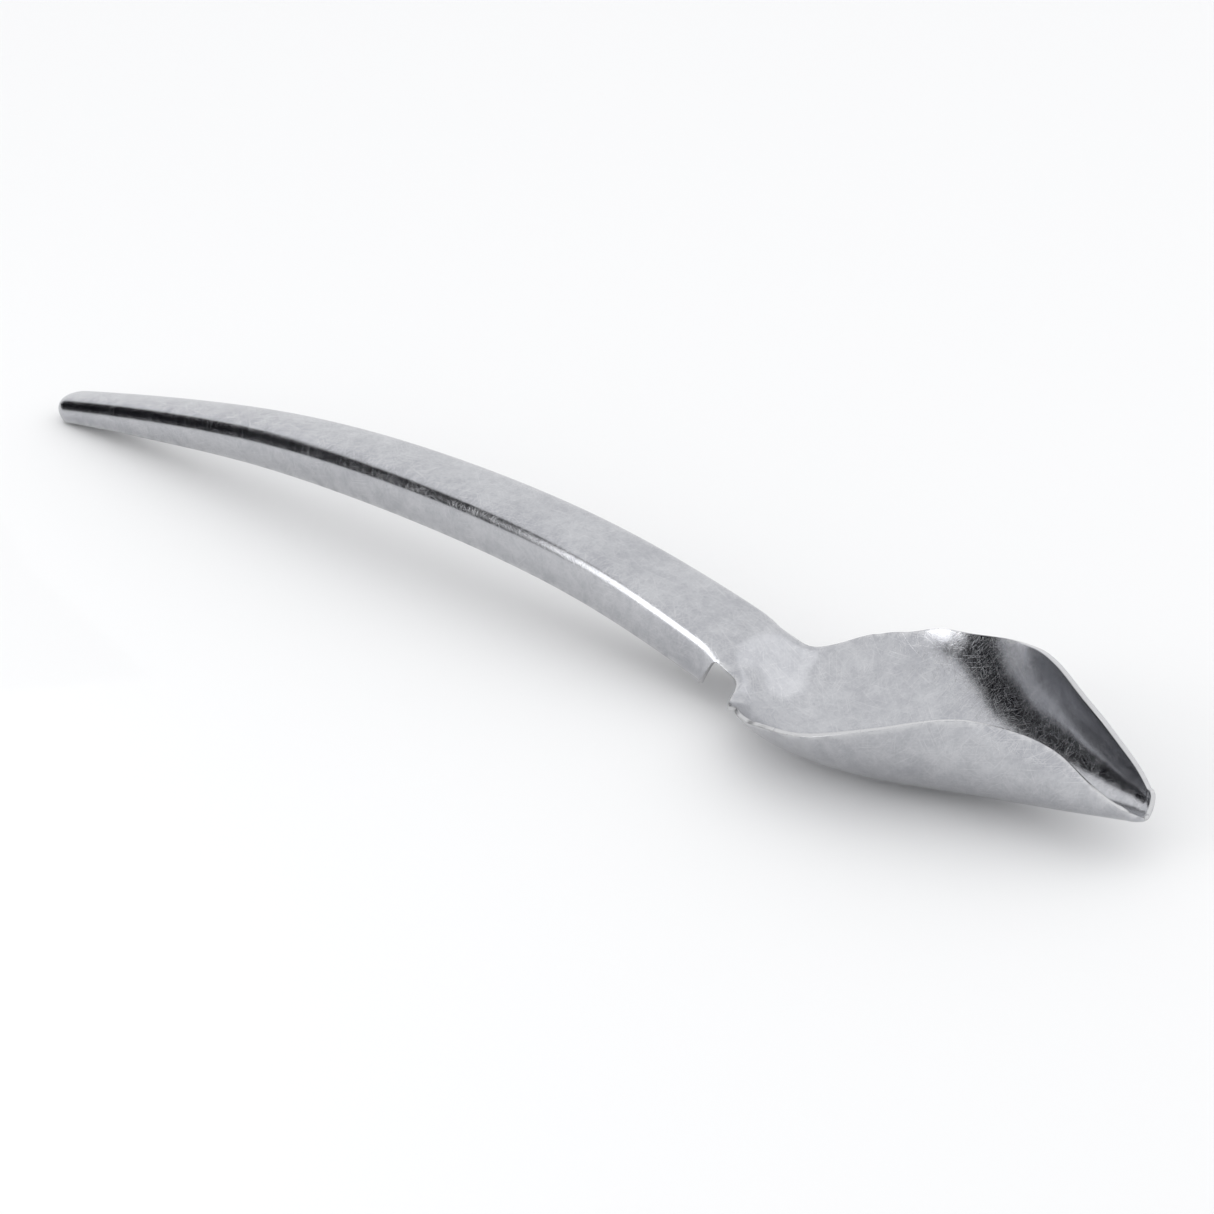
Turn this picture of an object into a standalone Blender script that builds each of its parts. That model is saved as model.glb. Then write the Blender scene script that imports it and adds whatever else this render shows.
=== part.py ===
"""Ice scoop: one pressed sheet of stainless steel.

The sheet is drawn the way a press tool maker would: a centre line seen from the side, a flat
outline of the blank, and a rule for how each cross-section is bent.  Half of the sheet is lofted
from these, mirrored, and given its thickness.
"""

import math

import bmesh
import bpy
import numpy as np

MM = 0.001

# ---- driving dimensions, in millimetres and degrees ----
SHEET = 0.8                  # thickness of the steel
EDGE_ROUND = 0.16            # rounding of the cut edges

BOWL_LENGTH = 87.0           # tip to the relief notch, along the centre line
BOWL_HALF_GIRTH = 30.1       # centre line to rim at the widest place, along the sheet
TIP_LENGTH = 2.1             # stretch of the centre line over which the tip is rounded
TIP_HALF_WIDTH = 6.0         # half-width of the blank where the rounded tip ends
FLOOR_FLAT = 0.07            # share of the half-girth that stays flat along the floor

NOTCH_LENGTH = 4.9           # opening between bowl and handle flange, along the centre line
NOTCH_DEPTH_LINE = 8.9       # centre line to the bottom of the notch, along the sheet
NOTCH_FILLET = 0.9           # round in the corner under the handle flange

HANDLE_LENGTH = 182.2        # front of the notch to the centre of the nose, along the centre line
CROWN_AT_NECK = 7.9          # centre line to the middle of the shoulder bend
CROWN_AT_NOSE = 3.65
BEND_AT_NECK = 2.4           # half-length of the shoulder bend, along the sheet
BEND_AT_NOSE = 2.4
SHOULDER_ANGLE = 77.5        # how far the shoulder turns the sheet down
FLANGE_AT_NECK = 5.4         # depth of the side flange below the shoulder bend
FLANGE_AT_NOSE = 1.0
FLANGE_CURL = 1.8            # inward curl of the flange, degrees per millimetre

# ---- shape of the drawing, as (share of the length, value) stations ----
HEEL_START, HEEL_END = 0.69, 0.74       # the floor is straight here, and the scoop rests on it
HEEL_SLOPE = 15.7
# slope of the bowl's centre line, rising towards the handle
BOWL_SLOPE = [(0.0, 7.4), (0.23, 6.6), (0.46, 7.7), (0.63, 13.4), (HEEL_START, HEEL_SLOPE),
              (HEEL_END, HEEL_SLOPE), (0.86, 34.9), (0.94, 53.9), (1.0, 62.0)]
# slope of the handle's centre line, from the notch to the nose
HANDLE_SLOPE = [(0.03, 30.0), (0.11, 27.0), (0.29, 18.3), (0.54, 11.5), (0.79, 4.0), (1.0, 1.2)]
# half-width of the bowl's blank, as a share of BOWL_HALF_GIRTH
BOWL_OUTLINE = [(0.08, 0.384), (0.15, 0.61), (0.23, 0.76), (0.32, 0.88), (0.43, 0.95),
                (0.57, 1.0), (0.71, 0.965), (0.82, 0.85), (0.89, 0.75), (0.935, 0.615),
                (0.985, 0.318)]
# angle that the sheet has turned through at the rim
RIM_ANGLE = [(0.0, 73.0), (0.14, 119.0), (0.28, 104.0), (0.46, 77.0), (0.63, 64.0), (0.78, 57.0),
             (0.91, 46.0), (1.05, 0.0)]
# how much tighter the bend is at the floor than at the rim: 1 is a plain arc
FLOOR_SHARPNESS = [(0.0, 1.05), (0.28, 1.33), (0.69, 0.93), (1.05, 1.0)]
# crown half-width and flange depth between neck and nose, as shares of the change between them
CROWN_TAPER = [(0.0, 0.0), (0.24, 0.31), (0.54, 0.415), (1.0, 1.0)]
FLANGE_TAPER = [(0.0, 0.0), (0.24, -0.22), (0.54, -0.105), (0.79, 0.35), (1.0, 1.0)]
# cross curvature of the crown, degrees per millimetre
CROWN_CURVATURE = [(0.0, 0.7), (0.32, 1.1), (1.0, 3.85)]
# the trough turns into the crowned handle between these shares of the bowl's length
CROWN_STARTS, CROWN_ENDS = 0.90, 1.042
SHOULDER_STARTS, SHOULDER_ENDS = 0.91, 1.074

# ---- fineness of the mesh ----
TIP_ROWS = 4
FLOOR_ROWS = 15              # tip's round to heel
CORNER_ROWS = 14             # heel to relief notch, round the bowl's rear corners
NOTCH_ROWS = 2
FILLET_ROWS = 3
HANDLE_ROWS = 26
NOSE_ROWS = 5
INNER_COLUMNS = 10
FLANGE_COLUMNS = 3
FIRST_TIP_ANGLE = 20.0       # where on the tip's round the first row lies
TIP_CROWDING = 1.3           # above 1, the floor's rows lie closer together near the tip

NOTCH_FRONT = BOWL_LENGTH
NOTCH_REAR = BOWL_LENGTH + NOTCH_LENGTH
NOSE_CENTRE = NOTCH_FRONT + HANDLE_LENGTH
STEEL = (0.62, 0.62, 0.63, 1.0)


def curve_through(stations, at):
    """Monotone cubic curve through (position, value) stations."""
    knots = np.array([position for position, _ in stations], float)
    values = np.array([value for _, value in stations], float)
    step = np.diff(knots)
    slope = np.diff(values) / step
    tangent = np.zeros(len(knots))
    tangent[0] = slope[0]
    tangent[-1] = slope[-1]
    for i in range(1, len(knots) - 1):
        if slope[i - 1] * slope[i] > 0:
            near = 2 * step[i] + step[i - 1]
            far = step[i] + 2 * step[i - 1]
            tangent[i] = (near + far) / (near / slope[i - 1] + far / slope[i])
    at = np.clip(at, knots[0], knots[-1])
    i = np.clip(np.searchsorted(knots, at, side="right") - 1, 0, len(knots) - 2)
    t = (at - knots[i]) / step[i]
    start = (1 + 2 * t) * (1 - t) ** 2 * values[i] + t * (1 - t) ** 2 * step[i] * tangent[i]
    end = t * t * (3 - 2 * t) * values[i + 1] + t * t * (t - 1) * step[i] * tangent[i + 1]
    return start + end


def ease(t):
    """Smooth step from 0 to 1."""
    t = np.clip(t, 0, 1)
    return t * t * (3 - 2 * t)


def handle_share(s):
    """Share of the way along the handle, from the notch's front to the nose."""
    return np.clip((s - NOTCH_FRONT) / HANDLE_LENGTH, 0, 1)


def centre_slope(s):
    """Slope of the centre line in radians, s millimetres from the tip."""
    bowl = [(share * BOWL_LENGTH, angle) for share, angle in BOWL_SLOPE]
    handle = [(NOTCH_REAR + share * (NOSE_CENTRE - NOTCH_REAR), angle) for share, angle in HANDLE_SLOPE]
    return np.radians(curve_through(bowl + handle, s))


def centre_line(s):
    """Position (x, z) and slope of the centre line; the tip is at 0 and the handle at -x."""
    fine = np.linspace(0, NOSE_CENTRE, 1200)
    slope = centre_slope(fine)
    middle = (slope[1:] + slope[:-1]) / 2
    step = np.diff(fine)
    x = np.concatenate([[0], np.cumsum(-np.cos(middle) * step)])
    z = np.concatenate([[0], np.cumsum(np.sin(middle) * step)])
    return np.interp(s, fine, x), np.interp(s, fine, z), centre_slope(s)


def shoulder(s):
    """Centre line to shoulder bend, and the bend's half-length, on the handle."""
    taper = curve_through(CROWN_TAPER, handle_share(s))
    crown = CROWN_AT_NECK + (CROWN_AT_NOSE - CROWN_AT_NECK) * taper
    bend = BEND_AT_NECK + (BEND_AT_NOSE - BEND_AT_NECK) * handle_share(s)
    return crown, bend


def fold_line(s):
    """Half-width of the strip that runs unbroken from the tip to the nose."""
    outline = [(TIP_LENGTH, TIP_HALF_WIDTH)]
    outline += [(a * BOWL_LENGTH, b * BOWL_HALF_GIRTH) for a, b in BOWL_OUTLINE]
    outline += [(NOTCH_FRONT, NOTCH_DEPTH_LINE)]
    bowl = curve_through(outline, s)
    tip = TIP_HALF_WIDTH * np.sqrt(np.clip(1 - (1 - s / TIP_LENGTH) ** 2, 0, 1))
    into_fillet = np.clip(s - (NOTCH_REAR - NOTCH_FILLET), 0, NOTCH_FILLET)
    notch = NOTCH_DEPTH_LINE + NOTCH_FILLET - np.sqrt(NOTCH_FILLET**2 - into_fillet**2)
    crown, bend = shoulder(s)
    settle = ease((s - NOTCH_REAR) / (0.14 * HANDLE_LENGTH))
    handle = (NOTCH_DEPTH_LINE + NOTCH_FILLET) * (1 - settle) + (crown + bend) * settle
    return np.select([s < TIP_LENGTH, s < NOTCH_FRONT, s <= NOTCH_REAR], [tip, bowl, notch], handle)


def flange_edge(s):
    """Centre line to the lower edge of the side flange, along the sheet."""
    crown, bend = shoulder(s)
    taper = curve_through(FLANGE_TAPER, handle_share(s))
    return crown + bend + FLANGE_AT_NECK + (FLANGE_AT_NOSE - FLANGE_AT_NECK) * taper


def bend_angle(s, v, half_width):
    """Angle that the cross-section at s has turned through at v, along the sheet."""
    share = s / BOWL_LENGTH
    rim = np.radians(curve_through(RIM_ANGLE, share))
    sharpness = curve_through(FLOOR_SHARPNESS, share)
    up_wall = np.clip((v / half_width - FLOOR_FLAT) / (1 - FLOOR_FLAT), 0, 1)
    trough = rim * (1 - (1 - up_wall) ** sharpness)
    crown, bend = shoulder(s)
    crowned = ease((share - CROWN_STARTS) / (CROWN_ENDS - CROWN_STARTS))
    folded = ease((share - SHOULDER_STARTS) / (SHOULDER_ENDS - SHOULDER_STARTS))
    camber = np.radians(curve_through(CROWN_CURVATURE, handle_share(s))) * v
    fold = np.radians(SHOULDER_ANGLE) * ease((v - crown + bend) / (2 * bend))
    curl = np.radians(FLANGE_CURL) * np.maximum(0, v - crown)
    return trough - crowned * camber - folded * (fold + curl)


def section(s, v, half_width):
    """Cross-sections as sideways and upward offsets from the centre line."""
    angle = bend_angle(s[:, None], v, half_width[:, None])
    middle = (angle[:, 1:] + angle[:, :-1]) / 2
    step = np.diff(v, axis=1)
    start = np.zeros((len(s), 1))
    side = np.concatenate([start, np.cumsum(np.cos(middle) * step, axis=1)], axis=1)
    up = np.concatenate([start, np.cumsum(np.sin(middle) * step, axis=1)], axis=1)
    return side, up


def place(s, side, up):
    """Section offsets to points, square to the centre line."""
    x, z, slope = centre_line(s)
    px = x[:, None] + up * np.sin(slope)[:, None]
    pz = z[:, None] + up * np.cos(slope)[:, None]
    return np.stack([px, side, pz], axis=-1)


def inner_rows():
    """Stations of the rows between the tip and the rear of the notch."""
    round_angle = np.radians(np.linspace(FIRST_TIP_ANGLE, 90, TIP_ROWS + 1)[:-1])
    tip = TIP_LENGTH * (1 - np.cos(round_angle))
    heel = HEEL_START * BOWL_LENGTH
    floor = TIP_LENGTH + (heel - TIP_LENGTH) * np.linspace(0, 1, FLOOR_ROWS + 1) ** TIP_CROWDING
    corner = np.linspace(HEEL_END * BOWL_LENGTH, NOTCH_FRONT, CORNER_ROWS + 1)
    notch = np.linspace(NOTCH_FRONT, NOTCH_REAR - NOTCH_FILLET, NOTCH_ROWS + 1)[1:]
    turn = np.linspace(0, math.pi / 2, FILLET_ROWS + 1)[1:-1]
    fillet = NOTCH_REAR - NOTCH_FILLET + NOTCH_FILLET * np.sin(turn)
    return np.concatenate([tip, floor, corner, notch, fillet])


def inner_columns():
    """Shares of the half-width at which the columns lie; the first one is the flat floor."""
    return np.concatenate([[0], np.linspace(FLOOR_FLAT, 1, INNER_COLUMNS)])


def half_sheet():
    """Rows of points over half of the sheet's middle surface, and how many rows have no flange."""
    s = inner_rows()
    width = fold_line(s)
    v = inner_columns()[None, :] * width[:, None]
    front = place(s, *section(s, v, width))

    s = np.linspace(NOTCH_REAR, NOSE_CENTRE, HANDLE_ROWS + 1)
    width = fold_line(s)
    inner = inner_columns()[None, :] * width[:, None]
    flange = np.linspace(0, 1, FLANGE_COLUMNS + 1)[None, 1:] * (flange_edge(s) - width)[:, None]
    v = np.concatenate([inner, width[:, None] + flange], axis=1)
    side, up = section(s, v, width)
    handle = place(s, side, up)

    # the nose is the last section swung round its centre
    x, z, slope = centre_line(s[-1:])
    centre = np.array([x[0], 0, z[0]])
    back = np.array([-math.cos(slope[0]), 0, math.sin(slope[0])])
    normal = np.array([math.sin(slope[0]), 0, math.cos(slope[0])])
    across = np.array([0, 1, 0])
    nose = []
    for swing in np.linspace(math.pi / 2, 0, NOSE_ROWS + 1)[1:]:
        outward = math.sin(swing) * across + math.cos(swing) * back
        nose.append(centre + side[-1][:, None] * outward + up[-1][:, None] * normal)
    return list(front) + list(handle) + nose, len(front)


def sheet_mesh():
    """Half of the sheet's middle surface, open at the mirror plane."""
    rows, plain_rows = half_sheet()
    points = []
    first = []
    for row in rows:
        first.append(len(points))
        points += [tuple(point) for point in row * MM]
    faces = []
    for i in range(len(rows) - 1):
        columns = min(len(rows[i]), len(rows[i + 1])) if i + 1 != plain_rows else INNER_COLUMNS + 1
        for j in range(columns - 1):
            a = first[i] + j
            b = first[i + 1] + j
            faces.append((a, a + 1, b + 1, b))
    mesh = bpy.data.meshes.new("scoop_body")
    mesh.from_pydata(points, [], faces)
    weld(mesh)
    return mesh


def weld(mesh):
    """Join the points that the nose rows share at the nose's centre."""
    bm = bmesh.new()
    bm.from_mesh(mesh)
    bmesh.ops.remove_doubles(bm, verts=bm.verts, dist=1e-6)
    bm.to_mesh(mesh)
    bm.free()


def steel():
    """Satin stainless steel."""
    material = bpy.data.materials.new("stainless_steel")
    material.use_nodes = True
    shader = material.node_tree.nodes["Principled BSDF"]
    shader.inputs["Base Color"].default_value = STEEL
    shader.inputs["Metallic"].default_value = 1.0
    shader.inputs["Roughness"].default_value = 0.32
    return material


def lay_down(scoop, rest):
    """Turn and lift the scoop so that its heel and its nose touch z = 0, centred on x = 0."""
    shape = scoop.evaluated_get(bpy.context.evaluated_depsgraph_get()).to_mesh()
    points = np.array([vertex.co[:] for vertex in shape.vertices])
    scoop.evaluated_get(bpy.context.evaluated_depsgraph_get()).to_mesh_clear()
    x = points[:, 0]
    z = points[:, 2]
    bowl = x > -NOTCH_FRONT * MM
    nose = x < x.min() + 2 * CROWN_AT_NOSE * MM
    drop = z[nose][:, None] - z[bowl][None, :]
    reach = x[bowl][None, :] - x[nose][:, None]
    pitch = np.arctan2(drop, reach).max(axis=1).min()
    turned_x = x * math.cos(pitch) - z * math.sin(pitch)
    turned_z = x * math.sin(pitch) + z * math.cos(pitch)
    rest.rotation_euler.y = -pitch
    rest.location.x = -(turned_x.min() + turned_x.max()) / 2
    rest.location.z = -turned_z.min()


def main():
    for old in list(bpy.data.objects):
        bpy.data.objects.remove(old)
    parts = bpy.data.collections.new("ice_scoop")
    bpy.context.scene.collection.children.link(parts)

    rest = bpy.data.objects.new("rest_pose", None)
    parts.objects.link(rest)
    scoop = bpy.data.objects.new("scoop_body", sheet_mesh())
    parts.objects.link(scoop)
    scoop.data.materials.append(steel())
    scoop.data.shade_smooth()

    mirror = scoop.modifiers.new("other_half", "MIRROR")
    mirror.use_axis = (False, True, False)
    mirror.merge_threshold = 0.00001
    thickness = scoop.modifiers.new("sheet_thickness", "SOLIDIFY")
    thickness.thickness = SHEET * MM
    thickness.offset = 0
    thickness.use_even_offset = True
    edges = scoop.modifiers.new("cut_edges", "BEVEL")
    edges.width = EDGE_ROUND * MM
    edges.segments = 1
    edges.limit_method = "ANGLE"
    edges.angle_limit = math.radians(50)

    lay_down(scoop, rest)
    scoop.parent = rest
    bpy.context.view_layer.update()


main()
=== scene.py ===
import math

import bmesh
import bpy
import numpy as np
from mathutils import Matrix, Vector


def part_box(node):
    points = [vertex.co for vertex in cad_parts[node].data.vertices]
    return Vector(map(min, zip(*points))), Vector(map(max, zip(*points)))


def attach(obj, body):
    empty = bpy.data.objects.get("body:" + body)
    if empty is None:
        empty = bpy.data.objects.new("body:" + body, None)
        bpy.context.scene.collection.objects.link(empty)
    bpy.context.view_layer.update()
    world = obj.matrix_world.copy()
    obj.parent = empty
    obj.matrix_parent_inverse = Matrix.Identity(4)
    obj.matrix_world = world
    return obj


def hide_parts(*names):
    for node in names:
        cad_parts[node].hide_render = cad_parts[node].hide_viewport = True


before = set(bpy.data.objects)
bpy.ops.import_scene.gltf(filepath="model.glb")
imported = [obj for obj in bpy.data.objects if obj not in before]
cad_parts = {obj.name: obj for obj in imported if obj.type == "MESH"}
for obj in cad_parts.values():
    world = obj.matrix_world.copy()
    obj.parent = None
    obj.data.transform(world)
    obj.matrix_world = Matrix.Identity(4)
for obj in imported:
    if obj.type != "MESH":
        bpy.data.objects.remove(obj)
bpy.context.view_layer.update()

# %% [markdown]
# # A pressed stainless steel ice scoop
#
# A bar scoop is one of the plainest things in a kitchen: a single blank of sheet steel that a
# press has bent into a pointed bowl and a crowned handle, and that a tumbler full of ceramic
# stones has turned a soft, cloudy grey. There is no joint, rivet or grip. All of its character
# is in how the sheet bends and in how its satin skin carries reflections, so this lesson has
# two halves: a very fine sheet, and a steel with real wear.
#
# The file starts by loading the engineering model. Its outer box is kept, because the finished
# picture model has to be the same size. Its outer box is kept and printed next to the picture
# model's box once the scoop is laid down.

MM = 0.001
node_low, node_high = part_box("scoop_body")

# %% [markdown]
# ## The camera
#
# A product shot of a long, low object is usually taken from a little above table height with a
# long lens, which keeps the near end from swelling. We could aim the camera by eye, but it is
# easier to keep honest if it is described by numbers: the direction we look from, the distance,
# a slight roll, and how much the frame is slid. The slide uses the lens's shift, so the camera
# still looks straight at the scoop's middle.

# %% Camera
VIEW_AZIMUTH = math.radians(43.12)
VIEW_ELEVATION = math.radians(26.65)
VIEW_ROLL = math.radians(-0.65)
VIEW_DISTANCE = 1.0275
LOOK_AT = np.array([0.0, 0.0, 0.010])

toward_camera = np.array([math.sin(VIEW_AZIMUTH) * math.cos(VIEW_ELEVATION),
                          -math.cos(VIEW_AZIMUTH) * math.cos(VIEW_ELEVATION),
                          math.sin(VIEW_ELEVATION)])
camera_data = bpy.data.cameras.new("bench_camera")
camera = bpy.data.objects.new("bench_camera", camera_data)
bpy.context.scene.collection.objects.link(camera)
camera.matrix_world = (Matrix.Translation(LOOK_AT + toward_camera * VIEW_DISTANCE)
                       @ Matrix.Rotation(VIEW_AZIMUTH, 4, "Z")
                       @ Matrix.Rotation(math.pi / 2 - VIEW_ELEVATION, 4, "X")
                       @ Matrix.Rotation(VIEW_ROLL, 4, "Z"))
camera_data.sensor_width = 36.0
camera_data.lens = 168.0
camera_data.shift_x = 0.0366
camera_data.shift_y = -0.0297
camera_data.clip_start = 0.05
camera_data.clip_end = 50.0
bpy.context.scene.camera = camera
print("camera at", [round(c, 3) for c in camera.location])

# %% [markdown]
# ## Curves that don't overshoot
#
# The scoop's shape is a handful of curves: how the centre line slopes, how wide the blank is, how
# far the sheet has been bent at the rim. Each one is given by a few stations and has to pass
# through them smoothly. A Bezier or an ordinary cubic can swing past a station and make a ripple
# that polished steel would show at once, so the curve used here is the monotone kind: between two
# stations it never leaves their range.

# %% Curve helpers
def curve_through(stations, at):
    """Monotone cubic curve through (position, value) stations."""
    knots = np.array([position for position, _ in stations], float)
    values = np.array([value for _, value in stations], float)
    step = np.diff(knots)
    slope = np.diff(values) / step
    tangent = np.zeros(len(knots))
    tangent[0] = slope[0]
    tangent[-1] = slope[-1]
    for i in range(1, len(knots) - 1):
        if slope[i - 1] * slope[i] > 0:
            near = 2 * step[i] + step[i - 1]
            far = step[i] + 2 * step[i - 1]
            tangent[i] = (near + far) / (near / slope[i - 1] + far / slope[i])
    at = np.clip(at, knots[0], knots[-1])
    i = np.clip(np.searchsorted(knots, at, side="right") - 1, 0, len(knots) - 2)
    t = (at - knots[i]) / step[i]
    start = (1 + 2 * t) * (1 - t) ** 2 * values[i] + t * (1 - t) ** 2 * step[i] * tangent[i]
    end = t * t * (3 - 2 * t) * values[i + 1] + t * t * (t - 1) * step[i] * tangent[i + 1]
    return start + end


def ease(t):
    """Smooth step from 0 to 1."""
    t = np.clip(t, 0, 1)
    return t * t * (3 - 2 * t)


# %% [markdown]
# ## The centre line
#
# Seen from the side, the scoop is one bent line: a nearly flat floor, a heel, a quick rise to the
# neck, and a long handle that bows over. Rather than placing points, we say how steep the line is
# at each stretch and add it up, which is how a bending fixture is set out. The tip is at zero and
# distances run back along the steel to the nose of the handle, in millimetres.

# %% Centre line
BOWL_LENGTH = 87.0
NOTCH_LENGTH = 4.9
HANDLE_LENGTH = 182.2
NOTCH_REAR = BOWL_LENGTH + NOTCH_LENGTH
NOSE_CENTRE = BOWL_LENGTH + HANDLE_LENGTH
LINE_STEPS = 1200
HEEL_START, HEEL_END, HEEL_SLOPE = 0.69, 0.74, 15.7
BOWL_SLOPE = [(0.0, 7.4), (0.23, 6.6), (0.46, 7.7), (0.63, 13.4), (HEEL_START, HEEL_SLOPE),
              (HEEL_END, HEEL_SLOPE), (0.86, 34.9), (0.94, 53.9), (1.0, 62.0)]
HANDLE_SLOPE = [(0.03, 30.0), (0.11, 27.0), (0.29, 18.3), (0.54, 11.5), (0.79, 4.0), (1.0, 1.2)]


def centre_slope(s):
    """Slope of the centre line in radians, s millimetres from the tip."""
    bowl = [(share * BOWL_LENGTH, angle) for share, angle in BOWL_SLOPE]
    handle = [(NOTCH_REAR + share * (NOSE_CENTRE - NOTCH_REAR), angle) for share, angle in HANDLE_SLOPE]
    return np.radians(curve_through(bowl + handle, s))


def centre_line(s):
    """Position (x, z) and slope of the centre line; the handle runs towards -x."""
    fine = np.linspace(0, NOSE_CENTRE, LINE_STEPS)
    slope = centre_slope(fine)
    middle = (slope[1:] + slope[:-1]) / 2
    step = np.diff(fine)
    x = np.concatenate([[0], np.cumsum(-np.cos(middle) * step)])
    z = np.concatenate([[0], np.cumsum(np.sin(middle) * step)])
    return np.interp(s, fine, x), np.interp(s, fine, z), centre_slope(s)


print("length along the steel, mm:", round(NOSE_CENTRE, 1))

# %% [markdown]
# ## The blank
#
# Before it is bent, the sheet is flat, and its outline decides every visible edge: the pointed
# bowl, the small open notch on each side that lets the bowl and the handle flanges bend without
# tearing, and the narrow handle. We only need half of it, because both sides match.

# %% Outline of the blank
BOWL_HALF_GIRTH = 30.1
TIP_LENGTH, TIP_HALF_WIDTH = 2.1, 6.0
NOTCH_DEPTH_LINE, NOTCH_FILLET = 8.9, 0.9
NOTCH_SETTLES = 0.14
CROWN_AT_NECK, CROWN_AT_NOSE = 7.9, 3.65
BEND_AT_NECK, BEND_AT_NOSE = 2.4, 2.4
FLANGE_AT_NECK, FLANGE_AT_NOSE = 5.4, 1.0
BOWL_OUTLINE = [(0.08, 0.384), (0.15, 0.61), (0.23, 0.76), (0.32, 0.88), (0.43, 0.95),
                (0.57, 1.0), (0.71, 0.965), (0.82, 0.85), (0.89, 0.75), (0.935, 0.615),
                (0.985, 0.318)]
CROWN_TAPER = [(0.0, 0.0), (0.24, 0.31), (0.54, 0.415), (1.0, 1.0)]
FLANGE_TAPER = [(0.0, 0.0), (0.24, -0.22), (0.54, -0.105), (0.79, 0.35), (1.0, 1.0)]


def handle_share(s):
    """Share of the way along the handle, from the notch's front to the nose."""
    return np.clip((s - BOWL_LENGTH) / HANDLE_LENGTH, 0, 1)


def shoulder(s):
    """Centre line to shoulder bend, and the bend's half-length, on the handle."""
    crown = CROWN_AT_NECK + (CROWN_AT_NOSE - CROWN_AT_NECK) * curve_through(CROWN_TAPER, handle_share(s))
    bend = BEND_AT_NECK + (BEND_AT_NOSE - BEND_AT_NECK) * handle_share(s)
    return crown, bend


def fold_line(s):
    """Half-width of the strip that runs unbroken from the tip to the nose."""
    outline = [(TIP_LENGTH, TIP_HALF_WIDTH)]
    outline += [(a * BOWL_LENGTH, b * BOWL_HALF_GIRTH) for a, b in BOWL_OUTLINE]
    outline += [(BOWL_LENGTH, NOTCH_DEPTH_LINE)]
    bowl = curve_through(outline, s)
    tip = TIP_HALF_WIDTH * np.sqrt(np.clip(1 - (1 - s / TIP_LENGTH) ** 2, 0, 1))
    into_fillet = np.clip(s - (NOTCH_REAR - NOTCH_FILLET), 0, NOTCH_FILLET)
    notch = NOTCH_DEPTH_LINE + NOTCH_FILLET - np.sqrt(NOTCH_FILLET**2 - into_fillet**2)
    crown, bend = shoulder(s)
    settle = ease((s - NOTCH_REAR) / (NOTCH_SETTLES * HANDLE_LENGTH))
    handle = (NOTCH_DEPTH_LINE + NOTCH_FILLET) * (1 - settle) + (crown + bend) * settle
    return np.select([s < TIP_LENGTH, s < BOWL_LENGTH, s <= NOTCH_REAR], [tip, bowl, notch], handle)


def flange_edge(s):
    """Centre line to the lower edge of the side flange, along the sheet."""
    crown, bend = shoulder(s)
    taper = curve_through(FLANGE_TAPER, handle_share(s))
    return crown + bend + FLANGE_AT_NECK + (FLANGE_AT_NOSE - FLANGE_AT_NECK) * taper


# %% [markdown]
# ## How each cross-section bends
#
# Walk from the centre line out to the edge and ask one question: how far has the sheet turned? In
# the bowl it turns upwards into a trough. Along the handle it is gently crowned and then turns
# down sharply at the shoulder into a flange. Between the two, one rule fades into the other, and
# that fade is the neck. Adding up the turn gives the section, at its true length of steel.

# %% Cross-sections
FLOOR_FLAT = 0.07
SHOULDER_ANGLE = 77.5
FLANGE_CURL = 1.8
RIM_ANGLE = [(0.0, 73.0), (0.14, 119.0), (0.28, 104.0), (0.46, 77.0), (0.63, 64.0), (0.78, 57.0),
             (0.91, 46.0), (1.05, 0.0)]
FLOOR_SHARPNESS = [(0.0, 1.05), (0.28, 1.33), (0.69, 0.93), (1.05, 1.0)]
CROWN_CURVATURE = [(0.0, 0.7), (0.32, 1.1), (1.0, 3.85)]
CROWN_STARTS, CROWN_ENDS = 0.90, 1.042
SHOULDER_STARTS, SHOULDER_ENDS = 0.91, 1.074


def bend_angle(s, v, half_width):
    """Angle that the cross-section at s has turned through at v, along the sheet."""
    share = s / BOWL_LENGTH
    rim = np.radians(curve_through(RIM_ANGLE, share))
    up_wall = np.clip((v / half_width - FLOOR_FLAT) / (1 - FLOOR_FLAT), 0, 1)
    trough = rim * (1 - (1 - up_wall) ** curve_through(FLOOR_SHARPNESS, share))
    crown, bend = shoulder(s)
    crowned = ease((share - CROWN_STARTS) / (CROWN_ENDS - CROWN_STARTS))
    folded = ease((share - SHOULDER_STARTS) / (SHOULDER_ENDS - SHOULDER_STARTS))
    camber = np.radians(curve_through(CROWN_CURVATURE, handle_share(s))) * v
    fold = np.radians(SHOULDER_ANGLE) * ease((v - crown + bend) / (2 * bend))
    curl = np.radians(FLANGE_CURL) * np.maximum(0, v - crown)
    return trough - crowned * camber - folded * (fold + curl)


def section(s, v, half_width):
    """Cross-sections as sideways and upward offsets from the centre line."""
    angle = bend_angle(s[:, None], v, half_width[:, None])
    middle = (angle[:, 1:] + angle[:, :-1]) / 2
    step = np.diff(v, axis=1)
    start = np.zeros((len(s), 1))
    side = np.concatenate([start, np.cumsum(np.cos(middle) * step, axis=1)], axis=1)
    up = np.concatenate([start, np.cumsum(np.sin(middle) * step, axis=1)], axis=1)
    return side, up


def place(s, side, up):
    """Section offsets to points, square to the centre line."""
    x, z, slope = centre_line(s)
    px = x[:, None] + up * np.sin(slope)[:, None]
    pz = z[:, None] + up * np.cos(slope)[:, None]
    return np.stack([px, side, pz], axis=-1)


# %% [markdown]
# ## Half of the sheet, row by row
#
# A curved mirror shows every facet, so the rows are close together: about a millimetre apart in
# the bowl and less where the neck turns. Each point also remembers where it lies on the flat
# blank. That is worth more than an ordinary texture unwrap here, because tumbling marks,
# scratches and worn edges all happen on the sheet, and a pattern laid out on the blank bends with
# it and never stretches.

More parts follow.
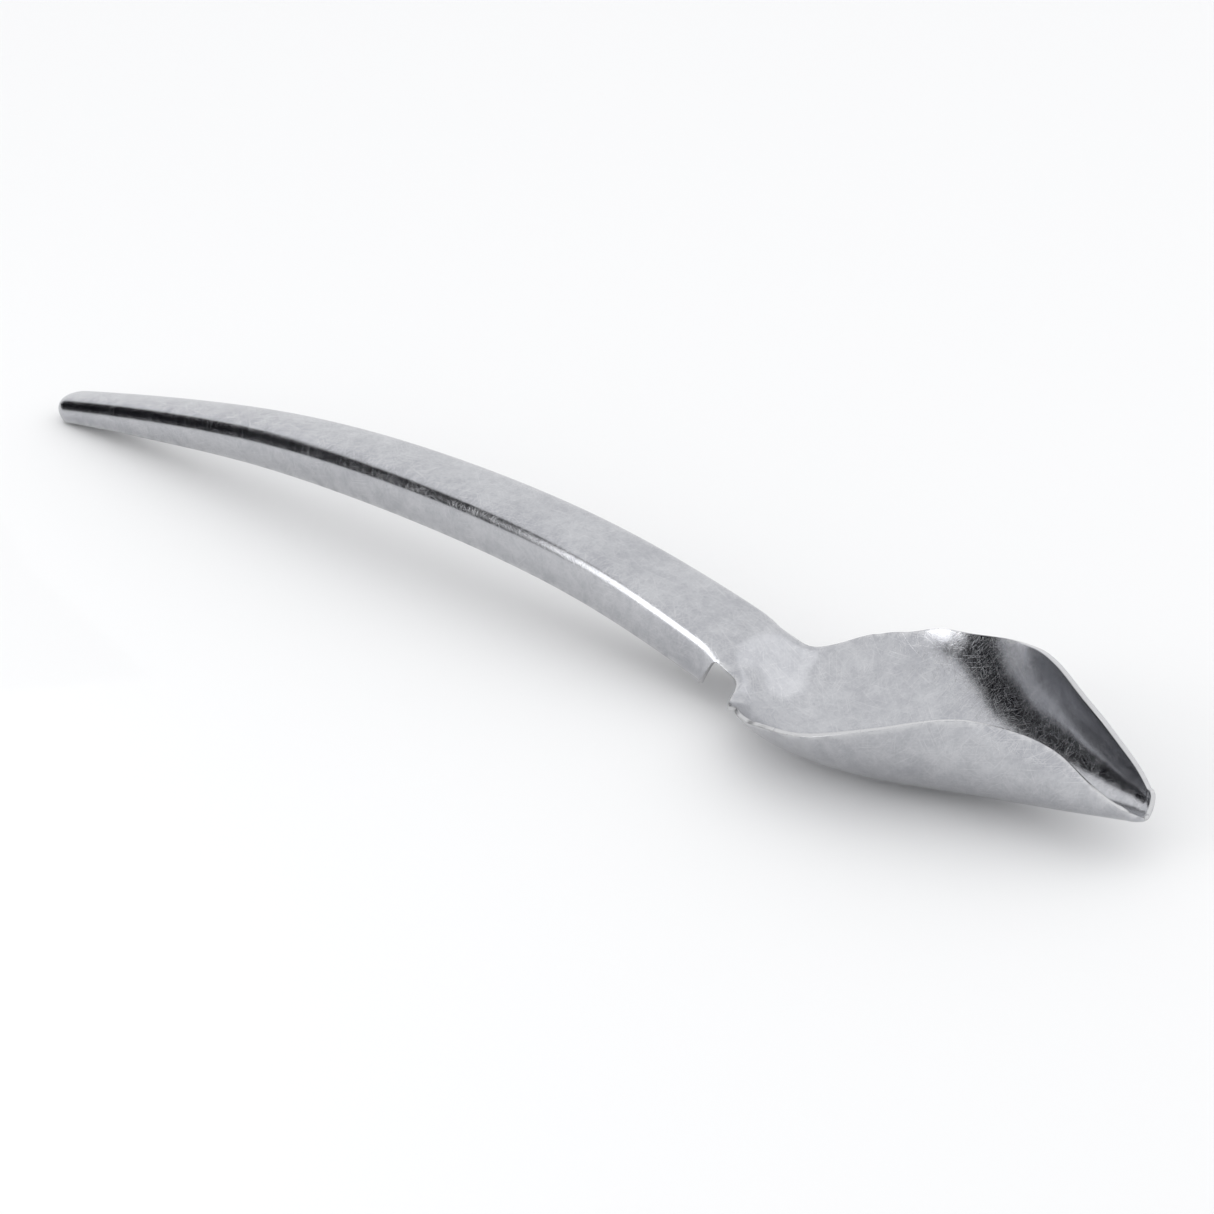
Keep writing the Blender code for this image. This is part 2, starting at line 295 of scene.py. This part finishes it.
# %% Rows of points
TIP_ROWS, FLOOR_ROWS, HEEL_ROWS, CORNER_ROWS = 10, 60, 4, 56
NOTCH_ROWS, FILLET_ROWS, HANDLE_ROWS, NOSE_ROWS = 9, 7, 110, 16
INNER_COLUMNS, FLANGE_COLUMNS = 36, 10
FIRST_TIP_ANGLE, FLOOR_CROWDING = 9, 1.3


def inner_rows():
    """Stations of the rows between the tip and the rear of the notch."""
    round_angle = np.radians(np.linspace(FIRST_TIP_ANGLE, 90, TIP_ROWS + 1)[:-1])
    tip = TIP_LENGTH * (1 - np.cos(round_angle))
    heel = HEEL_START * BOWL_LENGTH
    floor = TIP_LENGTH + (heel - TIP_LENGTH) * np.linspace(0, 1, FLOOR_ROWS + 1) ** FLOOR_CROWDING
    under_heel = np.linspace(heel, HEEL_END * BOWL_LENGTH, HEEL_ROWS + 1)[1:-1]
    corner = np.linspace(HEEL_END * BOWL_LENGTH, BOWL_LENGTH, CORNER_ROWS + 1)
    notch = np.linspace(BOWL_LENGTH, NOTCH_REAR - NOTCH_FILLET, NOTCH_ROWS + 1)[1:]
    turn = np.linspace(0, math.pi / 2, FILLET_ROWS + 1)[1:-1]
    fillet = NOTCH_REAR - NOTCH_FILLET + NOTCH_FILLET * np.sin(turn)
    return np.concatenate([tip, floor, under_heel, corner, notch, fillet])


def half_sheet():
    """Rows of (points, along, across, distance to the cut edge), and how many have no flange."""
    columns = np.concatenate([[0], np.linspace(FLOOR_FLAT, 1, INNER_COLUMNS)])[None, :]
    s = inner_rows()
    width = fold_line(s)
    v = columns * width[:, None]
    points = place(s, *section(s, v, width))
    rows = [(points[i], np.full(v.shape[1], s[i]), v[i], width[i] - v[i]) for i in range(len(s))]
    plain = len(rows)

    s = np.linspace(NOTCH_REAR, NOSE_CENTRE, HANDLE_ROWS + 1)
    width = fold_line(s)
    edge = flange_edge(s)
    flange = np.linspace(0, 1, FLANGE_COLUMNS + 1)[None, 1:] * (edge - width)[:, None]
    v = np.concatenate([columns * width[:, None], width[:, None] + flange], axis=1)
    side, up = section(s, v, width)
    points = place(s, side, up)
    rows += [(points[i], np.full(v.shape[1], s[i]), v[i], edge[i] - v[i]) for i in range(len(s))]

    # the nose is the last section swung round its centre
    x, z, slope = centre_line(s[-1:])
    centre = np.array([x[0], 0, z[0]])
    back = np.array([-math.cos(slope[0]), 0, math.sin(slope[0])])
    normal = np.array([math.sin(slope[0]), 0, math.cos(slope[0])])
    for swing in np.linspace(math.pi / 2, 0, NOSE_ROWS + 1)[1:]:
        outward = math.sin(swing) * np.array([0, 1, 0]) + math.cos(swing) * back
        points = centre + side[-1][:, None] * outward + up[-1][:, None] * normal
        rows.append((points, s[-1] + v[-1] * math.cos(swing), v[-1] * math.sin(swing), edge[-1] - v[-1]))
    return rows, plain


rows, plain_rows = half_sheet()
print("half sheet:", len(rows), "rows,", sum(len(row[0]) for row in rows), "points")

# %% [markdown]
# ## The whole sheet
#
# A Mirror modifier would copy the second half exactly, and then every scratch would show up twice
# as a perfect reflection, which the eye finds at once. So the two halves are written out here,
# with the distance across the blank negative on one side. Three numbers ride on every point as
# mesh attributes, ready for the material to read.

# %% Build the sheet
WELD_DISTANCE = 0.000001


def join_halves(rows, plain):
    """Mesh of both halves, welded down the middle and at the nose."""
    first = np.cumsum([0] + [len(row[0]) for row in rows])
    points = np.concatenate([row[0] for row in rows]) * MM
    along = np.concatenate([row[1] for row in rows])
    across = np.concatenate([row[2] for row in rows])
    edge = np.concatenate([row[3] for row in rows])
    quads = []
    for i in range(len(rows) - 1):
        columns = INNER_COLUMNS + 1 if i + 1 <= plain else len(rows[i][0])
        for j in range(columns - 1):
            a = first[i] + j
            b = first[i + 1] + j
            quads.append((a, a + 1, b + 1, b))
    count = len(points)
    both = np.concatenate([points, points * [1, -1, 1]])
    faces = quads + [tuple(reversed([corner + count for corner in quad])) for quad in quads]
    mesh = bpy.data.meshes.new("scoop_sheet")
    mesh.from_pydata(both.tolist(), [], faces)
    for name, values in (("along", np.tile(along, 2)), ("across", np.concatenate([across, -across])),
                         ("to_edge", np.tile(edge, 2))):
        mesh.attributes.new(name, "FLOAT", "POINT").data.foreach_set("value", values.astype(np.float32))
    bm = bmesh.new()
    bm.from_mesh(mesh)
    bmesh.ops.remove_doubles(bm, verts=bm.verts, dist=WELD_DISTANCE)
    bm.to_mesh(mesh)
    bm.free()
    return mesh


scoop = bpy.data.objects.new("ice_scoop", join_halves(rows, plain_rows))
bpy.context.scene.collection.objects.link(scoop)
print("open sheet:", len(scoop.data.vertices), "points,", len(scoop.data.polygons), "faces")

# %% [markdown]
# ## Thickness and edges
#
# The steel is 0.8 mm thick. Solidify grows the surface to both sides by half of that and closes
# it with a narrow strip all round, which is the cut edge of the blank. The strip gets its own
# material slot, because a deburred edge is brighter than the tumbled faces. The modifier is then
# made permanent and the two corners of the strip are marked sharp. They could be rounded with a
# Bevel modifier, but near the tip the rows lie so close that its cuts would cross; the material
# rounds them instead, with a Bevel node, which bends the shading and not the mesh.

# %% Thickness and edges
SHEET = 0.8
EDGE_ROUND = 0.28
SHARP_CORNER = math.radians(45)

thickness = scoop.modifiers.new("sheet_thickness", "SOLIDIFY")
thickness.thickness = SHEET * MM
thickness.offset = 0
thickness.use_even_offset = True
thickness.material_offset_rim = 1
scoop.data.materials.append(None)
scoop.data.materials.append(None)
solid = bpy.data.meshes.new_from_object(scoop.evaluated_get(bpy.context.evaluated_depsgraph_get()))
scoop.modifiers.clear()
scoop.data = solid
solid.shade_smooth()
solid.set_sharp_from_angle(angle=SHARP_CORNER)
print("solid sheet:", len(solid.vertices), "points,", len(solid.polygons), "faces")


def points_of(obj):
    """Points of the object's mesh as an array, in metres."""
    points = np.empty(len(obj.data.vertices) * 3)
    obj.data.vertices.foreach_get("co", points)
    return points.reshape(-1, 3)


# %% [markdown]
# ## Laying the scoop down
#
# A scoop on a table touches it in two places: the heel under the bowl and the nose of the handle.
# To find the tilt, we look at every line from the nose to a point of the bowl and take the one
# that has the rest of the bowl above it. The turn is then written into the mesh, so that the
# object itself sits unturned at the origin, like the engineering part.

# %% Lay it down
def lay_down(obj):
    """Turn and lift the mesh so that heel and nose touch the table; gives the tilt in degrees."""
    points = points_of(obj)
    x, z = points[:, 0], points[:, 2]
    bowl = x > -BOWL_LENGTH * MM
    nose = x < x.min() + 2 * CROWN_AT_NOSE * MM
    nose_x, nose_z = x[nose], z[nose]
    pitch = min(np.arctan2(drop_z - z[bowl], x[bowl] - drop_x).max()
                for drop_x, drop_z in zip(nose_x, nose_z))
    turned_x = x * math.cos(pitch) - z * math.sin(pitch)
    turned_z = x * math.sin(pitch) + z * math.cos(pitch)
    turn = Matrix.Rotation(-pitch, 4, "Y")
    lift = Matrix.Translation((-(turned_x.min() + turned_x.max()) / 2, 0, -turned_z.min()))
    obj.data.transform(lift @ turn)
    return math.degrees(pitch)


tilt = lay_down(scoop)
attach(scoop, "root")
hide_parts("scoop_body")
laid = points_of(scoop) / MM
print("tilt, degrees:", round(tilt, 2))
print("scoop, mm:", np.round(laid.min(axis=0), 2), np.round(laid.max(axis=0), 2))
print("engineering, mm:", np.round(np.array(node_low) / MM, 2), np.round(np.array(node_high) / MM, 2))

# %% [markdown]
# ## Writing materials as arithmetic
#
# A node tree of thirty Math nodes is hard to read. Python can do the wiring: one small class
# wraps the output of a node, and its operators add the Math nodes, so that a mask can be written
# as `1 - clouds * 0.3`. Every other node comes from one method that sets the node up, fills its
# sockets and hands back its output.

# %% Shader arithmetic
class Shade:
    """One number, colour or vector that a material works out at every point of a surface."""

    def __init__(self, tree, socket):
        self.tree = tree
        self.socket = socket

    def node(self, kind, settings=None, inputs=None, output=0):
        """Add a node, set it up, fill its sockets and wrap one of its outputs."""
        made = self.tree.nodes.new("ShaderNode" + kind)
        for name, value in (settings or {}).items():
            setattr(made, name, value)
        for name, value in (inputs or {}).items():
            target = made.inputs[name]
            if isinstance(value, Shade):
                self.tree.links.new(value.socket, target)
            else:
                target.default_value = value
        return Shade(self.tree, made.outputs[output])

    def _math(self, operation, a, b):
        return self.node("Math", {"operation": operation}, {0: a, 1: b})

    def __add__(self, other):
        return self._math("ADD", self, other)

    def __radd__(self, other):
        return self._math("ADD", other, self)

    def __sub__(self, other):
        return self._math("SUBTRACT", self, other)

    def __rsub__(self, other):
        return self._math("SUBTRACT", other, self)

    def __mul__(self, other):
        return self._math("MULTIPLY", self, other)

    def __rmul__(self, other):
        return self._math("MULTIPLY", other, self)

    def ramp(self, low, high):
        """0 below low, 1 above high, smooth between; low may be the larger one."""
        if low < high:
            return self.node("MapRange", {"interpolation_type": "SMOOTHSTEP"},
                             {"Value": self, "From Min": low, "From Max": high})
        return 1 - self.ramp(high, low)

    def max(self, other):
        """The larger of two."""
        return self._math("MAXIMUM", self, other)


def new_material(name):
    """A material with one Principled shader; gives the material, its shader and a first Shade."""
    material = bpy.data.materials.new(name)
    material.use_nodes = True
    tree = material.node_tree
    shader = tree.nodes["Principled BSDF"]
    return material, shader, Shade(tree, None)


def feed(shader, name, shade):
    """Link a Shade to a socket of the shader."""
    shade.tree.links.new(shade.socket, shader.inputs[name])


print("shader helpers ready")

# %% [markdown]
# ## Where on the blank
#
# The three numbers that we stored on the mesh come back through Attribute nodes. Two of them make
# a flat coordinate in millimetres on the blank, so a noise of scale 1 has blobs about a
# millimetre across, and the third says how close the cut edge is.

# %% Coordinates on the blank
def on_blank(base):
    """Attributes as Shades: flat coordinate on the blank and distance to its edge, in mm."""
    along, across, to_edge = [base.node("Attribute", {"attribute_name": name}, output="Fac")
                              for name in ("along", "across", "to_edge")]
    flat = base.node("CombineXYZ", {}, {"X": along, "Y": across})
    return flat, to_edge


def cloud(flat, size, detail=3.0, roughness=0.55, shift=0.0):
    """Soft noise with blobs of about the given size in millimetres, from 0 to 1."""
    moved = flat.node("Mapping", {}, {"Vector": flat, "Location": (shift, shift * 0.7, 0)})
    return flat.node("TexNoise", {"noise_dimensions": "2D"},
                     {"Vector": moved, "Scale": 1 / size, "Detail": detail, "Roughness": roughness})


# %% [markdown]
# ## Scratches
#
# Scoops knock about in an ice bin and a bar sink, so the skin carries fine straight scratches in
# every direction. One long, thin noise gives scratches that all run one way: it is squeezed in one
# direction and drawn out in the other, and only its peaks are kept. Several of these, each turned
# by its own angle, make the criss-cross of a used surface.

# %% Scratches
def scratches(flat, turn, length, width, keep, shift):
    """Thin straight marks in one direction, 1 on a mark and 0 off it."""
    turned = flat.node("Mapping", {}, {"Vector": flat, "Rotation": (0, 0, math.radians(turn)),
                                       "Location": (shift, shift * 1.3, 0)})
    drawn = flat.node("Mapping", {}, {"Vector": turned, "Scale": (1 / length, 1 / width, 1)})
    streak = flat.node("TexNoise", {"noise_dimensions": "2D"},
                       {"Vector": drawn, "Scale": 1.0, "Detail": 1.0, "Roughness": 0.4})
    return streak.ramp(keep, keep + 0.06)


def all_scratches(flat):
    """Scratches in many directions."""
    marks = scratches(flat, 12, 9.0, 0.16, 0.69, 3.0)
    for turn, length, width, keep, shift in ((47, 6.0, 0.13, 0.70, 11.0), (78, 7.0, 0.15, 0.71, 29.0),
                                             (109, 5.0, 0.12, 0.70, 41.0), (141, 8.0, 0.14, 0.70, 57.0),
                                             (166, 12.0, 0.18, 0.71, 73.0)):
        marks = marks.max(scratches(flat, turn, length, width, keep, shift))
    return marks


# %% [markdown]
# ## Tumbled steel
#
# The faces are stainless steel that has been tumbled, so they are neither mirror nor brushed:
# the reflection is soft, faintly cloudy, and has a fine grain when you look closely. Clouds at
# three sizes change how sharp the reflection is, finer noise gives the grain through bump,
# and the colour moves only a little, because real steel hardly changes colour. Near the cut
# edges the tumbling stones have rubbed hardest, so the steel is a little brighter and smoother.

# %% Tumbled steel
DULL_STEEL = (0.40, 0.405, 0.43, 1)
CLEAN_STEEL = (0.54, 0.545, 0.565, 1)
RUBBED_STEEL = (0.70, 0.70, 0.71, 1)
RELIEF_DEPTH = 0.000006


def mix_colour(factor, a, b):
    """Colour between a and b."""
    return factor.node("Mix", {"data_type": "RGBA"}, {0: factor, 6: a, 7: b}, output=2)


def bumped(base, height):
    """Normal of a surface with rounded corners and a fine relief, micrometres deep."""
    rounded = base.node("Bevel", {"samples": 4}, {"Radius": EDGE_ROUND * MM})
    return base.node("Bump", {}, {"Strength": 1.0, "Distance": RELIEF_DEPTH, "Height": height,
                                  "Normal": rounded})


def tumbled_steel():
    """Satin stainless steel with clouds, grain, scratches and rubbed edges."""
    material, shader, base = new_material("tumbled_steel")
    flat, to_edge = on_blank(base)
    broad = cloud(flat, 11.0, 3.0, 0.55, 5.0)
    patch = cloud(flat, 2.6, 4.0, 0.62, 17.0)
    speckle = cloud(flat, 0.55, 3.0, 0.6, 31.0)
    grain = cloud(flat, 0.16, 2.0, 0.6, 47.0)
    marks = all_scratches(flat)
    rubbed = to_edge.ramp(1.3, 0.1) * patch.ramp(0.3, 0.6)

    tone = broad * 0.35 + patch * 0.4 + speckle * 0.25
    colour = mix_colour(tone.ramp(0.3, 0.7), DULL_STEEL, CLEAN_STEEL)
    colour = mix_colour(marks * 0.35, colour, RUBBED_STEEL)
    colour = mix_colour(rubbed * 0.5, colour, RUBBED_STEEL)
    feed(shader, "Base Color", colour)
    shader.inputs["Metallic"].default_value = 1.0

    rough = 0.20 + (patch - 0.5) * 0.12 + (speckle - 0.5) * 0.08 + (broad - 0.5) * 0.05
    feed(shader, "Roughness", rough - rubbed * 0.08 - marks * 0.05)

    height = grain * 0.5 + speckle * 0.9 + patch * 1.6 - marks * 0.8
    feed(shader, "Normal", bumped(base, height))
    return material


# %% [markdown]
# ## The cut edge
#
# The press shears the blank and a belt takes the burr off, so the edge is a thin bright line. It
# isn't perfect: there are tiny dark nicks along it. A fine noise on the blank, with only its peaks
# kept, gives the nicks, which are also a little rougher and lower than the metal round them.

# %% Cut edge
SHEARED_STEEL = (0.60, 0.60, 0.61, 1)
NICKED_STEEL = (0.32, 0.32, 0.34, 1)


def cut_edge():
    """Bright sheared edge with nicks."""
    material, shader, base = new_material("cut_edge")
    flat = on_blank(base)[0]
    nick = cloud(flat, 0.30, 2.0, 0.6, 83.0).ramp(0.62, 0.78)
    grain = cloud(flat, 0.2, 2.0, 0.6, 97.0)
    feed(shader, "Base Color", mix_colour(nick * 0.5, SHEARED_STEEL, NICKED_STEEL))
    shader.inputs["Metallic"].default_value = 1.0
    feed(shader, "Roughness", 0.22 + nick * 0.2 + (grain - 0.5) * 0.1)
    feed(shader, "Normal", bumped(base, grain * 0.5 - nick))
    return material


scoop.data.materials[0] = tumbled_steel()
scoop.data.materials[1] = cut_edge()
for material in scoop.data.materials:
    print(material.name, "has", len(material.node_tree.nodes), "nodes")

# %% [markdown]
# ## Floor
#
# The scoop lies on a plain pale table top that runs out of the picture. It is matt, so that it
# gives the steel an even pale field to reflect from below.

# %% Floor
TABLE_HALF = 4.0


def pale_floor():
    """Large matt surface at table height."""
    mesh = bpy.data.meshes.new("table_top")
    corners = [(x * TABLE_HALF, y * TABLE_HALF, 0) for x, y in ((-1, -1), (1, -1), (1, 1), (-1, 1))]
    mesh.from_pydata(corners, [], [(0, 1, 2, 3)])
    floor = bpy.data.objects.new("table_top", mesh)
    bpy.context.scene.collection.objects.link(floor)
    material, shader = new_material("matt_white")[:2]
    shader.inputs["Base Color"].default_value = (0.90, 0.90, 0.90, 1)
    shader.inputs["Roughness"].default_value = 0.9
    mesh.materials.append(material)


pale_floor()
print("table top laid")

# %% [markdown]
# ## Light from everywhere
#
# Polished steel has hardly any colour of its own: it shows the room. For a plain soft studio the
# room is one even pale field, which a world background gives. The picture is shown with the
# Standard view, because the default one would turn the pale table top grey.

# %% Even studio light
world = bpy.data.worlds.new("studio")
bpy.context.scene.world = world
world.use_nodes = True
world.node_tree.nodes["Background"].inputs["Color"].default_value = (0.985, 0.99, 1.0, 1)
world.node_tree.nodes["Background"].inputs["Strength"].default_value = 1.05
bpy.context.scene.view_settings.view_transform = "Standard"

# %% [markdown]
# ## A dark screen and a bright panel
#
# In an even white room, metal looks like grey plastic. Photographers bring it to life by standing
# a black screen beside it: every tight bend squeezes the screen into a crisp dark line, and a
# bright panel next to the screen turns the rest of the line into a highlight. The screen here is
# a strip bent round the scoop, a little under half a metre away. The camera doesn't see it and it
# casts no shadow, so it works only as something to reflect.

# %% Dark screen
SCREEN_RADIUS = 0.45
SCREEN_PANES = 24
SCREEN_FOOT = 0.001


def bent_strip(name, start, end, radius, top_at_start, top_at_end):
    """Upright strip round the scoop between two compass angles in degrees, with a sloping top."""
    turns = np.radians(np.linspace(start, end, SCREEN_PANES + 1))
    tops = np.linspace(top_at_start, top_at_end, SCREEN_PANES + 1)
    points = [(radius * math.cos(turn), radius * math.sin(turn), height)
              for turn, top in zip(turns, tops) for height in (SCREEN_FOOT, top)]
    faces = [(2 * i, 2 * i + 2, 2 * i + 3, 2 * i + 1) for i in range(SCREEN_PANES)]
    mesh = bpy.data.meshes.new(name)
    mesh.from_pydata(points, [], faces)
    strip = bpy.data.objects.new(name, mesh)
    bpy.context.scene.collection.objects.link(strip)
    return strip


def black_cloth():
    """Matt black."""
    material, shader = new_material("black_cloth")[:2]
    shader.inputs["Base Color"].default_value = (0.004, 0.004, 0.006, 1)
    shader.inputs["Roughness"].default_value = 1.0
    shader.inputs["Specular IOR Level"].default_value = 0.0
    return material


screen = bent_strip("dark_screen", -184, -125, SCREEN_RADIUS, 0.30, 0.42)
screen.data.materials.append(black_cloth())

# %% [markdown]
# A screen alone stops at the table, and the pale table top in front of it would eat into the
# dark line from below. So a black mat lies on the table between the screen and the handle.

# %% Dark mat
MAT_HEIGHT = 0.0006

mat_outline = [(-0.45, -0.015), (-0.15, -0.015), (-0.09, -0.05), (-0.04, -0.065), (-0.262, -0.37)]
mat_mesh = bpy.data.meshes.new("dark_mat")
mat_mesh.from_pydata([(x, y, MAT_HEIGHT) for x, y in mat_outline], [], [tuple(range(len(mat_outline)))])
mat_mesh.materials.append(screen.data.materials[0])
mat = bpy.data.objects.new("dark_mat", mat_mesh)
bpy.context.scene.collection.objects.link(mat)
for dark in (screen, mat):
    dark.visible_camera = False
    dark.visible_diffuse = False
    dark.visible_shadow = False
    print(dark.name, "can be seen only in reflections")

# %% [markdown]
# Two bright panels finish the set. The one beside the screen draws the hard highlight line along
# the handle. The one behind only adds a soft glow where the handle turns down into the bowl, so
# it is large and hardly brighter than the room.

# %% Bright panel
def soft_panel(name, place_at, width, height, brightness, aim=(0.03, 0, 0.01)):
    """Rectangular light that faces a point; brightness is what a mirror shows beyond the room."""
    data = bpy.data.lights.new(name, "AREA")
    data.shape = "RECTANGLE"
    data.size = width
    data.size_y = height
    data.energy = brightness * math.pi * width * height
    panel = bpy.data.objects.new(name, data)
    bpy.context.scene.collection.objects.link(panel)
    panel.location = place_at
    panel.rotation_euler = (Vector(aim) - Vector(place_at)).to_track_quat("-Z", "Y").to_euler()
    panel.visible_camera = False
    return panel


turn = math.radians(-114)
beside_screen = (SCREEN_RADIUS * math.cos(turn), SCREEN_RADIUS * math.sin(turn), 0.16)
soft_panel("side_panel", beside_screen, 0.16, 0.30, 2.2)
soft_panel("back_panel", (0.29, 0.30, 0.36), 0.34, 0.20, 0.32)
